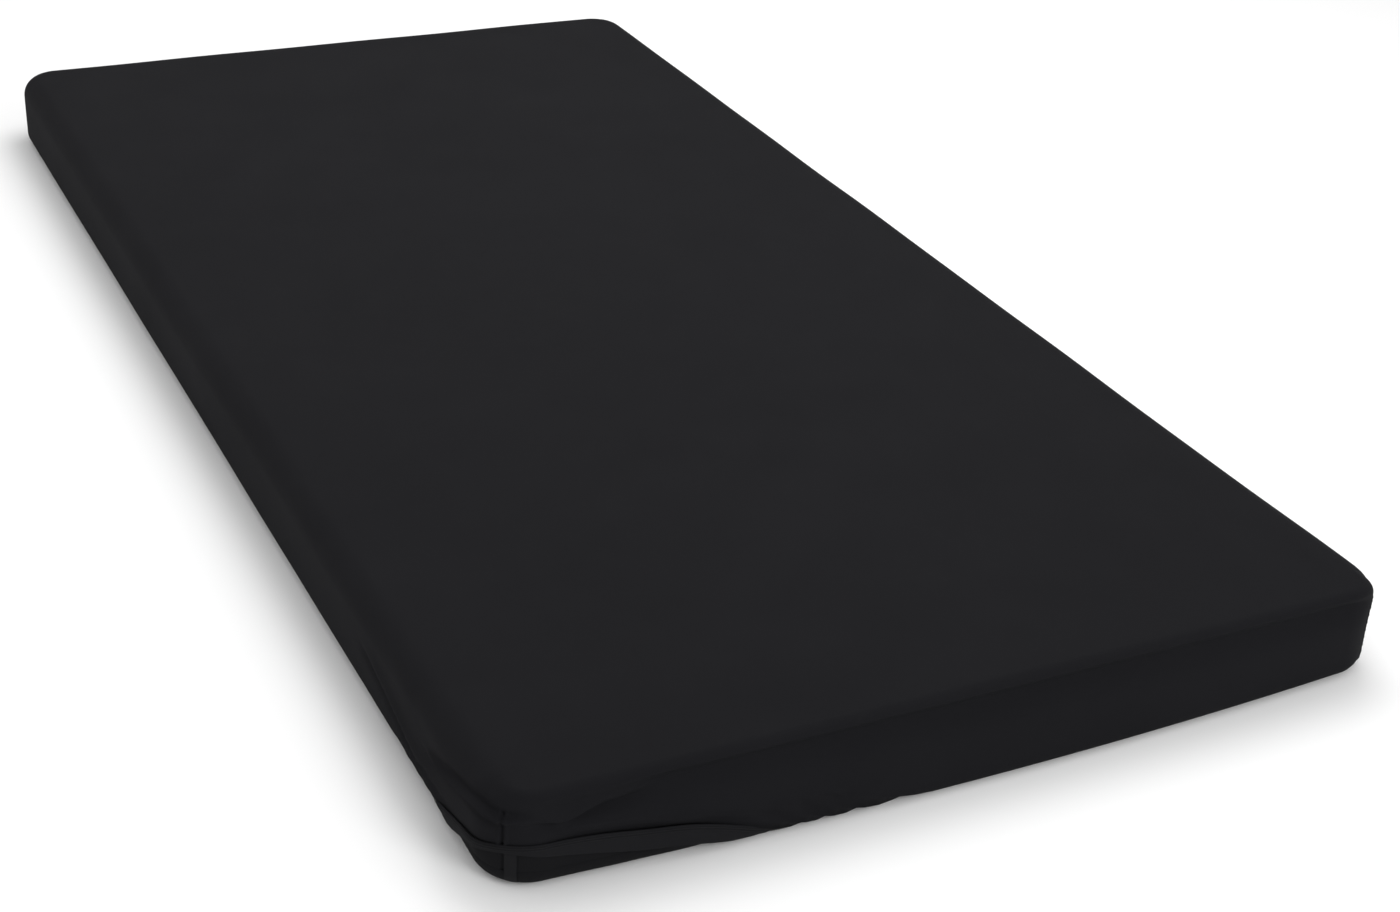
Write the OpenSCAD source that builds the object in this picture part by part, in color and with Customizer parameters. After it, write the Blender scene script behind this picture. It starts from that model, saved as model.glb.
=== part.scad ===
// Single futon mattress in a stretch fitted cover: a foam core between two layers of
// batting, in a zipped ticking case, with an elasticated jersey cover pulled over it.
// X is across the mattress, Y along it with the foot end at -Y, and Z is up.
// The origin is the middle of the underside. All sizes are in millimetres.

/* [Mattress] */
// Overall width, cover included
mattress_w = 1000; // [700:10:1600]
// Overall length, cover included
mattress_l = 2000; // [1200:10:2200]
// Overall height, cover included
mattress_h = 105; // [88:1:180]
// Radius of the four corners, seen from above
corner_r = 54; // [45:1:110]
// Rounding of the upper edge
top_edge_r = 28; // [14:1:34]
// Rounding of the lower edge
bottom_edge_r = 18; // [10:1:22]

/* [Fitted cover] */
// Thickness of the jersey
cover_t = 1.2; // [0.8:0.1:2]
// Room between the cover and the case, for seams and tapes
cover_gap = 3; // [2.8:0.1:5]
// How far the cover turns in under the mattress, up to its hem
lip_w = 90; // [60:1:160]
// Width of a corner seam's allowance, inside the cover
seam_w = 8; // [5:0.5:12]
// Thickness of a corner seam's allowance
seam_t = 1.2; // [0.8:0.1:1.4]
// Width of the hem's channel
hem_w = 18; // [14:1:30]
// Height of the hem's channel
hem_h = 3; // [2.4:0.1:3.2]
// Thickness of the hem's fabric
hem_t = 0.8; // [0.5:0.1:0.9]
// Width of the elastic in the hem
elastic_w = 12; // [6:1:14]
// Thickness of the elastic
elastic_t = 1; // [0.6:0.1:1.1]
// Width of the blank care label
label_w = 40; // [20:1:60]
// Height of the care label
label_h = 24; // [15:1:30]
// Thickness of the care label
label_t = 0.6; // [0.4:0.1:0.8]

/* [Ticking case] */
// Thickness of the ticking
ticking_t = 1.5; // [1:0.1:2.5]
// How far the case's upper seam lies below the rounding of the upper edge
top_seam_drop = 6; // [4:1:10]
// How far the case's lower seam lies above the rounding of the lower edge
bottom_seam_rise = 2; // [1:1:6]
// Width of the tape that binds the upper seam
binding_w = 8; // [5:0.5:9]
// Thickness of the binding tape
binding_t = 1.2; // [0.8:0.1:1.4]
// Width of the tape on each of the border's corner seams
corner_tape_w = 12; // [8:1:16]
// Thickness of the corner tapes
corner_tape_t = 0.6; // [0.4:0.1:0.8]

/* [Filling] */
// Thickness of the batting above the foam
batting_top_t = 18; // [8:1:22]
// Thickness of the batting below the foam
batting_bottom_t = 18; // [8:1:19]

/* [Zip] */
// Bare border between the zip's opening and the rounded corner, at each end
zip_end_room = 15; // [8:1:60]
// Height of the opening in the border that the zip closes
zip_slot_h = 26; // [22:1:28]
// How far the zip lies behind the border's outer face
zip_recess = 8; // [7.5:0.5:10]
// Thickness of the zip's tapes
tape_t = 0.8; // [0.6:0.1:1]
// Radius of each coil
coil_r = 1.1; // [0.9:0.1:1.3]
// Gap between the two coils, which the slider's post runs in
coil_gap = 2; // [1.8:0.1:2.4]
// Length of each end stop
stop_l = 4; // [3:0.5:6]
// Length of the slider
slider_l = 12; // [10:0.5:14]
// Thickness of the slider's plates
plate_t = 1; // [0.8:0.1:1.2]
// Radius of the bar that the pull swings on
bar_r = 0.6; // [0.5:0.05:0.7]
// Length of the pull, from the bar to its tip
pull_l = 28; // [20:1:30]
// Width of the pull
pull_w = 7; // [5:0.5:8]
// Thickness of the pull
pull_t = 1; // [0.8:0.1:1.2]

/* [Hidden] */
$fn = 64;

// Clearances
hair = 0.1;         // between pieces sewn or laid on each other
fill_gap = 0.3;     // between the filling and the case, and between its layers
run_gap = 0.3;      // between the slider and the zip that it runs on
pin_gap = 0.05;     // between the pull's eye and its bar, on the radius
groove_gap = 2;     // between the zip and the foam behind it

// Outlines in plan, each as an inset from the cover's outer face
half_w = mattress_w / 2;
half_l = mattress_l / 2;
case_in = cover_t + cover_gap;
lining_in = case_in + ticking_t;
fill_in = lining_in + fill_gap;

// Heights
hem_z = 0.2;
case_z0 = hem_z + hem_h + hair;
case_z1 = mattress_h - case_in;
fill_z0 = case_z0 + ticking_t + fill_gap;
fill_z1 = case_z1 - ticking_t - fill_gap;
foam_z0 = fill_z0 + batting_bottom_t + fill_gap;
foam_z1 = fill_z1 - batting_top_t - fill_gap;
top_seam_z = mattress_h - top_edge_r - top_seam_drop;
bottom_seam_z = bottom_edge_r + bottom_seam_rise;
corner_tape_z0 = bottom_seam_z + hair;
corner_tape_z1 = top_seam_z - binding_w / 2 - hair;

// How far in from the cover's outer face the edges are swept; the middle is flat
edge_depth = max(top_edge_r, bottom_edge_r) + 2;

// Edge roundings of the case and of the filling
case_top_r = top_edge_r - case_in;
case_bottom_r = bottom_edge_r - case_in;
lining_top_r = max(case_top_r - ticking_t, 2);
lining_bottom_r = max(case_bottom_r - ticking_t, 2);
fill_top_r = max(lining_top_r - fill_gap, 2);
fill_bottom_r = max(lining_bottom_r - fill_gap, 2);

// Hem, on the edge of the opening in the cover's underside
hem_r = 30;
elastic_room = (hem_h - 2 * hem_t - elastic_t) / 2;

// Zip, in the head end of the border
zip_z = (top_seam_z + bottom_seam_z) / 2;
zip_y = half_l - case_in - zip_recess;
zip_half = half_w - corner_r - zip_end_room;
coil_z = coil_gap / 2 + coil_r;
plate_y = coil_r + run_gap;
slider_half_w = coil_z + coil_r + run_gap + plate_t;
eye_wall = 0.6;
eye_r = bar_r + pin_gap + eye_wall;
bar_y = plate_y + plate_t + run_gap + eye_r;
stop_w = 2 * (coil_z + coil_r);
closed_stop_x = zip_half - stop_l;
open_stop_x = -zip_half + pull_l;
slider_x = closed_stop_x - run_gap - slider_l / 2;

// Sizes of the slider and its pull
post_l = 3;
post_w = coil_gap - 2 * run_gap;
lip_y = tape_t / 2 + run_gap;
ear_t = 1;
ear_z = pull_w / 2 - ear_t;
ear_rim = 0.4;
eye_w = 2 * (ear_z - run_gap);

// Outline of the mattress in plan, moved in by a given inset
module outline(inset) {
    r = corner_r - inset;
    w = half_w - inset;
    l = half_l - inset;
    square([2 * w, 2 * (l - r)], center = true);
    square([2 * (w - r), 2 * l], center = true);
    for (sx = [-1, 1], sy = [-1, 1])
        translate([sx * (w - r), sy * (l - r)])
            circle(r);
}

// Runs a section round the mattress: x is measured out from the cover's outer face
// and y up from the floor. The section keeps within corner_r of that face.
module round_the_edge() {
    for (turn = [0 : 3])
        rotate(90 * turn) {
            across = turn % 2 == 0 ? half_w : half_l;
            along = turn % 2 == 0 ? half_l : half_w;
            translate([across - corner_r, along - corner_r])
                rotate_extrude(angle = 90)
                    translate([corner_r, 0])
                        children();
            translate([across, along - corner_r])
                rotate([90, 0, 0])
                    linear_extrude(2 * (along - corner_r))
                        children();
        }
}

// Section of a slab's edge: straight side, quarter-round below (r0) and above (r1)
module edge_section(inset, z0, z1, r0, r1) {
    difference() {
        translate([-edge_depth, z0])
            square([edge_depth - inset, z1 - z0]);
        corner_cut(-inset - r1, z1 - r1, r1, 1);
        corner_cut(-inset - r0, z0 + r0, r0, -1);
    }
}

// What a rounding takes off a square corner, above (way = 1) or below (way = -1)
module corner_cut(x, z, r, way) {
    translate([x, z])
        difference() {
            translate([0, way > 0 ? 0 : -r])
                square(r);
            circle(r);
        }
}

// Keeps the part of a section between two heights
module between(z0, z1) {
    intersection() {
        children();
        translate([-edge_depth, z0])
            square([edge_depth, z1 - z0]);
    }
}

// Flat middle of a layer, inside the edge that round_the_edge() makes
module middle(z0, z1) {
    translate([0, 0, z0])
        linear_extrude(z1 - z0)
            outline(edge_depth);
}

// Section of the cover's edge
module cover_section() {
    difference() {
        edge_section(0, 0, mattress_h, bottom_edge_r, top_edge_r);
        edge_section(cover_t, cover_t, mattress_h - cover_t,
            bottom_edge_r - cover_t, top_edge_r - cover_t);
    }
}

// Jersey cover: top, sides and the part turned in under the mattress
module fitted_cover() {
    color("#232326") {
        round_the_edge()
            cover_section();
        middle(mattress_h - cover_t, mattress_h);
        difference() {
            middle(0, cover_t);
            translate([0, 0, -1])
                linear_extrude(cover_t + 2)
                    hem_outline(0);
        }
    }
}

// Outline of the opening under the mattress, moved out by a given amount
module hem_outline(out) {
    r = hem_r + out;
    w = half_w - lip_w + out;
    l = half_l - lip_w + out;
    square([2 * w, 2 * (l - r)], center = true);
    square([2 * (w - r), 2 * l], center = true);
    for (sx = [-1, 1], sy = [-1, 1])
        translate([sx * (w - r), sy * (l - r)])
            circle(r);
}

// Seam allowance on the inside of one corner of the cover
module corner_seam(sx, sy) {
    outer = corner_r - cover_t - hair;
    span = 2 * asin(seam_w / 2 / outer);
    color("#1b1b1d")
        translate([sx * (half_w - corner_r), sy * (half_l - corner_r), bottom_edge_r])
            rotate(atan2(sy, sx) - span / 2)
                rotate_extrude(angle = span)
                    translate([outer - seam_t, 0])
                        square([seam_t, mattress_h - top_edge_r - bottom_edge_r]);
}

// Flat tube round the opening that holds the elastic
module hem_channel() {
    color("#1f1f22")
        translate([0, 0, hem_z])
            difference() {
                linear_extrude(hem_h)
                    difference() {
                        hem_outline(-hair);
                        hem_outline(-hem_w);
                    }
                translate([0, 0, hem_t])
                    linear_extrude(hem_h - 2 * hem_t)
                        difference() {
                            hem_outline(-hair - hem_t);
                            hem_outline(-hem_w + hem_t);
                        }
            }
}

// Elastic band inside the hem
module hem_elastic() {
    slack = (hem_w - hair - elastic_w) / 2;
    color("#e4e2dc")
        translate([0, 0, hem_z + hem_t + elastic_room])
            linear_extrude(elastic_t)
                difference() {
                    hem_outline(-hair - slack);
                    hem_outline(-hair - slack - elastic_w);
                }
}

// Blank label on the inside of the cover's right side, near the foot end
module care_label() {
    label_x = half_w - cover_t - hair - label_t;
    color("#efeeea")
        translate([label_x, -half_l + corner_r + label_w, zip_z - label_h / 2])
            cube([label_t, label_w, label_h]);
}

// Section of the ticking case's edge
module case_section() {
    difference() {
        edge_section(case_in, case_z0, case_z1, case_bottom_r, case_top_r);
        edge_section(lining_in, case_z0 + ticking_t, case_z1 - ticking_t,
            lining_bottom_r, lining_top_r);
    }
}

// Upper panel of the case, with its rounded shoulder
module ticking_top() {
    color("#2b2b2e") {
        round_the_edge()
            between(top_seam_z, mattress_h)
                case_section();
        middle(case_z1 - ticking_t, case_z1);
    }
}

// Lower panel of the case
module ticking_bottom() {
    color("#2b2b2e") {
        round_the_edge()
            between(0, bottom_seam_z)
                case_section();
        middle(case_z0, case_z0 + ticking_t);
    }
}

// Upright border of the case, its edges turned in round the zip's opening
module ticking_border() {
    hems_y0 = zip_y + tape_t / 2;
    color("#252528")
        difference() {
            union() {
                round_the_edge()
                    between(bottom_seam_z, top_seam_z)
                        case_section();
                translate([0, hems_y0, zip_z])
                    zip_block(ticking_t, half_l - case_in - ticking_t / 2 - hems_y0);
            }
            translate([0, hems_y0 - 1, zip_z])
                zip_block(0, zip_recess + 2);
        }
}

// Block the size of the zip's opening, grown all round, from its back face forwards
module zip_block(grow, depth) {
    translate([-zip_half - grow, 0, -zip_slot_h / 2 - grow])
        cube([2 * (zip_half + grow), depth, zip_slot_h + 2 * grow]);
}

// Tape bound round the outside of the case's upper seam
module binding_top() {
    color("#19191b")
        round_the_edge()
            translate([-case_in + hair, top_seam_z - binding_w / 2])
                square([binding_t, binding_w]);
}

// Tapes on the outside of the border's four corner seams. Each starts at the middle
// of its corner and lies on the end of the mattress, not on the long side.
module corner_tapes() {
    inner = corner_r - case_in + hair;
    span = 2 * asin(corner_tape_w / 2 / inner);
    color("#333337")
        for (sx = [-1, 1], sy = [-1, 1])
            translate([sx * (half_w - corner_r), sy * (half_l - corner_r), corner_tape_z0])
                rotate(atan2(sy, sx) - (sx * sy > 0 ? 0 : span))
                    rotate_extrude(angle = span)
                        translate([inner, 0])
                            square([corner_tape_t, corner_tape_z1 - corner_tape_z0]);
}

// One tape of the zip, above (way = 1) or below (way = -1) the coils
module zip_tape(way) {
    edge = coil_z + coil_r + hair;
    far = zip_slot_h / 2 + ticking_t;
    color("#17171a")
        translate([-zip_half - ticking_t, zip_y - tape_t / 2, zip_z + (way > 0 ? edge : -far)])
            cube([2 * (zip_half + ticking_t), tape_t, far - edge]);
}

module zip_tape_upper() {
    zip_tape(1);
}

module zip_tape_lower() {
    zip_tape(-1);
}

// One coil of the zip, between the end stops
module zip_coil(way) {
    color("#3a3a3e")
        translate([open_stop_x + stop_l, zip_y, zip_z + way * coil_z])
            rotate([0, 90, 0])
                cylinder(h = closed_stop_x - open_stop_x - stop_l, r = coil_r);
}

module zip_coil_upper() {
    zip_coil(1);
}

module zip_coil_lower() {
    zip_coil(-1);
}

// Metal clip that ends the coils
module zip_stop(x) {
    color("#8f9094")
        translate([x, zip_y - coil_r, zip_z - stop_w / 2])
            cube([stop_l, 2 * coil_r, stop_w]);
}

module zip_stop_closed() {
    zip_stop(closed_stop_x);
}

module zip_stop_open() {
    zip_stop(open_stop_x);
}

// Slider: two plates with turned edges, the post between the coils, and the pull's bar
module zip_slider() {
    ear_half = bar_r + ear_rim;
    color("#8f9094")
        translate([slider_x, zip_y, zip_z]) {
            for (side = [0, 1])
                mirror([0, side, 0]) {
                    translate([-slider_l / 2, plate_y, -slider_half_w])
                        cube([slider_l, plate_t, 2 * slider_half_w]);
                    for (end = [0, 1])
                        mirror([0, 0, end])
                            translate([-slider_l / 2, lip_y, slider_half_w - plate_t])
                                cube([slider_l, plate_y - lip_y, plate_t]);
                }
            translate([slider_l / 2 - post_l, -plate_y, -post_w / 2])
                cube([post_l, 2 * plate_y, post_w]);
            for (end = [0, 1])
                mirror([0, 0, end])
                    translate([-ear_half, plate_y + plate_t, ear_z])
                        cube([2 * ear_half, bar_y + ear_half - plate_y - plate_t, ear_t]);
            translate([0, bar_y, -ear_z])
                cylinder(h = 2 * ear_z, r = bar_r);
        }
}

// Pull: an eye round the slider's bar and a flat tab with rounded end
module zip_pull() {
    color("#9a9b9f")
        translate([slider_x, zip_y + bar_y, zip_z])
            difference() {
                union() {
                    translate([0, 0, -eye_w / 2])
                        cylinder(h = eye_w, r = eye_r);
                    translate([-pull_w / 2, -pull_t / 2, -eye_w / 2])
                        cube([pull_w / 2, pull_t, eye_w]);
                    translate([-pull_l + pull_w / 2, -pull_t / 2, -pull_w / 2])
                        cube([pull_l - pull_w, pull_t, pull_w]);
                    translate([-pull_l + pull_w / 2, pull_t / 2, 0])
                        rotate([90, 0, 0])
                            cylinder(h = pull_t, r = pull_w / 2);
                }
                translate([0, 0, -eye_w])
                    cylinder(h = 2 * eye_w, r = bar_r + pin_gap);
            }
}

// Filling between two heights, rounded like the case, with a groove behind the zip
module filling_between(z0, z1) {
    groove_y = zip_y - plate_y - plate_t - groove_gap;
    difference() {
        union() {
            round_the_edge()
                between(z0, z1)
                    edge_section(fill_in, fill_z0, fill_z1, fill_bottom_r, fill_top_r);
            middle(z0, z1);
        }
        translate([0, groove_y, zip_z])
            zip_block(ticking_t + groove_gap, half_l - groove_y);
    }
}

module foam_core() {
    color("#e9d9a8")
        filling_between(foam_z0, foam_z1);
}

module batting_top() {
    color("#f3f1ea")
        filling_between(foam_z1 + fill_gap, fill_z1);
}

module batting_bottom() {
    color("#f3f1ea")
        filling_between(fill_z0, foam_z0 - fill_gap);
}

fitted_cover();
corner_seam(-1, -1);  // corner_seam_foot_left
corner_seam(1, -1);  // corner_seam_foot_right
corner_seam(-1, 1);  // corner_seam_head_left
corner_seam(1, 1);  // corner_seam_head_right
hem_channel();
hem_elastic();
care_label();
ticking_top();
ticking_border();
ticking_bottom();
binding_top();
corner_tapes();
zip_tape_upper();
zip_tape_lower();
zip_coil_upper();
zip_coil_lower();
zip_stop_closed();
zip_stop_open();
zip_slider();
zip_pull();
foam_core();
batting_top();
batting_bottom();
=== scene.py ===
"""Futon mattress in a black stretch jersey cover.

Each piece is a mesh worked out from the mattress's own sizes. Everything that runs round the
mattress is built on a Ring: columns that stand round its outline, and rows that follow its
profile from the flat top, over the upper edge, down the side and in under the mattress.
All lengths are in metres. X is across, Y along with the foot end at -Y, and Z is up.
"""

import math

import bmesh
import bpy
import numpy as np
from mathutils import Matrix, Vector


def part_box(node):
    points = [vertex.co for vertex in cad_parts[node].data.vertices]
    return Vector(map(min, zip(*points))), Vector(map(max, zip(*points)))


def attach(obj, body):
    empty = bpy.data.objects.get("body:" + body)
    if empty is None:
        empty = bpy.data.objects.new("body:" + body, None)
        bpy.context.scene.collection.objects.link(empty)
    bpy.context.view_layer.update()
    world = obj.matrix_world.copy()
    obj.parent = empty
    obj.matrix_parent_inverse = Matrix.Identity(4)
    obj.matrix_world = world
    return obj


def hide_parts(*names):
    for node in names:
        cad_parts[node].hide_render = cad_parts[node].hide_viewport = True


bl_info = {
    "name": "Futon Mattress",
    "version": (1, 0, 0),
    "blender": (4, 5, 0),
    "location": "3D View > Sidebar > Futon",
    "description": "Builds a futon mattress with its fitted cover, ticking case, zip and filling",
    "category": "Add Mesh",
}

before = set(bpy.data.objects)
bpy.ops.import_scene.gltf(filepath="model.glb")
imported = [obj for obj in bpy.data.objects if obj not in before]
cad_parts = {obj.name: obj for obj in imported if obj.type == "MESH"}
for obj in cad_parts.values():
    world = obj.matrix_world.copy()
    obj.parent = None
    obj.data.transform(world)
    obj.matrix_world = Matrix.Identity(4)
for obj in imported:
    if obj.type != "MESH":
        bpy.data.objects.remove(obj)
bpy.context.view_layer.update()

MM = 0.001
BODY = "mattress"
COVER_LOW, COVER_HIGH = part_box("fitted_cover")
HEM_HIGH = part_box("hem_channel")[1]
BORDER_LOW, BORDER_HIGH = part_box("ticking_border")
CASE_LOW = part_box("ticking_bottom")[0]
CASE_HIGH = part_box("ticking_top")[1]
HALF_W, HALF_L, HEIGHT = COVER_HIGH.x, COVER_HIGH.y, COVER_HIGH.z
CORNERS = ("foot_right", "head_right", "head_left", "foot_left")
CORE_INSET = 0.12  # how far inside the outline the lines towards the cover's mouth start from
TOP_UNEVEN = 0.0006  # how uneven the flat top is
DIP_DEPTH = 0.0165  # how far below the top the foot end is drawn in most
DIP_ABOVE, DIP_BELOW = 0.0045, 0.013  # half width of that hollow on its two sides
FOLD_END = 0.28  # share of a fold's length over which each end dies away
FOLD_END_MOST = 60  # the most of it, in mm
PUCKER_PITCH, PUCKER_HEIGHT = 0.009, 0.0004  # small waves along a corner's seam
HEM_CLEAR = 10  # how far below the hem's lower edge its hollows still press in, in mm


# ---------------------------------------------------------------- sizes and colours


def length(name, description, default, low=0.0, high=0.2):
    """A size in metres that can be changed in the panel."""
    return bpy.props.FloatProperty(
        name=name, description=description, default=default,
        min=low, max=high, precision=4, subtype="DISTANCE", unit="LENGTH",
    )


def colour(name, description, default):
    """A linear colour that can be changed in the panel."""
    return bpy.props.FloatVectorProperty(
        name=name, description=description, default=default,
        min=0.0, max=1.0, size=3, subtype="COLOR",
    )


class FutonSizes(bpy.types.PropertyGroup):
    """Sizes of the mattress and its cover."""

    corner: length("Corner", "Radius of the corners, seen from above", 0.054)
    top_edge: length("Top edge", "Rounding of the upper edge, but for the foot end", 0.028)
    foot_edge: length("Foot edge", "Tighter rounding of the upper edge at the foot end", 0.011)
    bottom_edge: length("Bottom edge", "Rounding of the lower edge", 0.018)
    crown: length("Crown", "How much the top rises towards the middle", 0.002)
    foot_bulge: length("Foot bulge", "How far the foot end swells out near the floor", 0.016)
    foot_dip: length("Foot dip", "How far the foot end draws in below its upper edge", 0.0085)
    cover_t: length("Jersey", "Thickness of the jersey cover", 0.0012)
    hem_t: length("Hem", "Thickness of the hem with the elastic in it", 0.003)
    seam_depth: length("Seam depth", "How deep a sewn seam draws the jersey in", 0.0020)
    case_gap: length("Case gap", "From the cover's outer face in to the ticking", 0.0042)
    ticking_t: length("Ticking", "Thickness of the ticking", 0.0015)
    corner_fill: length("Corner fill", "How far the ticking swells where the hem bares it", 0.0018)
    fill_gap: length("Fill gap", "Room between the ticking and the filling", 0.0003)
    stitch: length("Stitch", "Length of a sewing stitch", 0.003)
    thread: length("Thread", "Thickness of the sewing thread", 0.0005)


class FutonColours(bpy.types.PropertyGroup):
    """Colours of the materials."""

    jersey: colour("Jersey", "Knitted cover", (0.0080, 0.0080, 0.0094))
    hem: colour("Hem", "Hem of the cover", (0.0076, 0.0076, 0.0089))
    thread: colour("Thread", "Sewing thread", (0.0110, 0.0110, 0.0120))
    ticking: colour("Ticking", "Woven case", (0.0050, 0.0050, 0.0058))
    tape: colour("Tape", "Corner tapes and binding", (0.0054, 0.0054, 0.0066))
    elastic: colour("Elastic", "Elastic band", (0.72, 0.70, 0.65))
    label: colour("Label", "Blank care label", (0.80, 0.79, 0.76))
    zip_tape: colour("Zip tape", "Tapes of the zip", (0.010, 0.010, 0.011))
    coil: colour("Coil", "Nylon coils of the zip", (0.022, 0.022, 0.024))
    metal: colour("Metal", "Slider, pull and end stops", (0.42, 0.42, 0.43))
    foam: colour("Foam", "Foam core", (0.74, 0.62, 0.34))
    batting: colour("Batting", "Batting layers", (0.82, 0.80, 0.74))
    floor: colour("Floor", "Studio floor", (0.86, 0.86, 0.86))


# ---------------------------------------------------------------- lines and rounding


def through(points, at):
    """A smooth line through (place, value) points, read at the given places; level past its ends."""
    x, y = np.array(points, float).T
    slope = np.gradient(y, x)
    slope[[0, -1]] = 0
    at = np.clip(at, x[0], x[-1])
    k = np.clip(np.searchsorted(x, at) - 1, 0, len(x) - 2)
    step = x[k + 1] - x[k]
    t = (at - x[k]) / step
    rise = y[k + 1] - y[k]
    bend = (slope[k] + slope[k + 1]) * step - 2 * rise
    return y[k] + t * (slope[k] * step + t * (3 * rise - (2 * slope[k] + slope[k + 1]) * step + t * bend))


def fade(value, start, end):
    """0 before start, 1 past end, and smooth between; start may be the larger one."""
    t = np.clip((value - start) / (end - start), 0, 1)
    return t * t * (3 - 2 * t)


def bump(value, middle, width):
    """A bell of height 1 round the middle."""
    return np.exp(-0.5 * ((value - middle) / width) ** 2)


def steps(fine, growth, coarse, total):
    """Places from 0 to total, whose spacing grows from fine to coarse."""
    at, step = [0.0], fine
    while at[-1] < total:
        at.append(at[-1] + step)
        step = min(step * growth, coarse)
    return np.array(at) * total / at[-1]


def unevenness(x, y, wave, seed):
    """A gentle random surface between about -1 and 1, from waves about that long."""
    rng = np.random.default_rng(seed)
    total = 0
    for _ in range(9):
        turn = rng.uniform(0, 2 * math.pi)
        pitch = wave * rng.uniform(0.7, 1.6)
        phase = rng.uniform(0, 2 * math.pi)
        along = x * math.cos(turn) + y * math.sin(turn)
        total = total + np.sin(along * 2 * math.pi / pitch + phase)
    return total / 4.5


# ---------------------------------------------------------------- the mattress's outline


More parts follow.
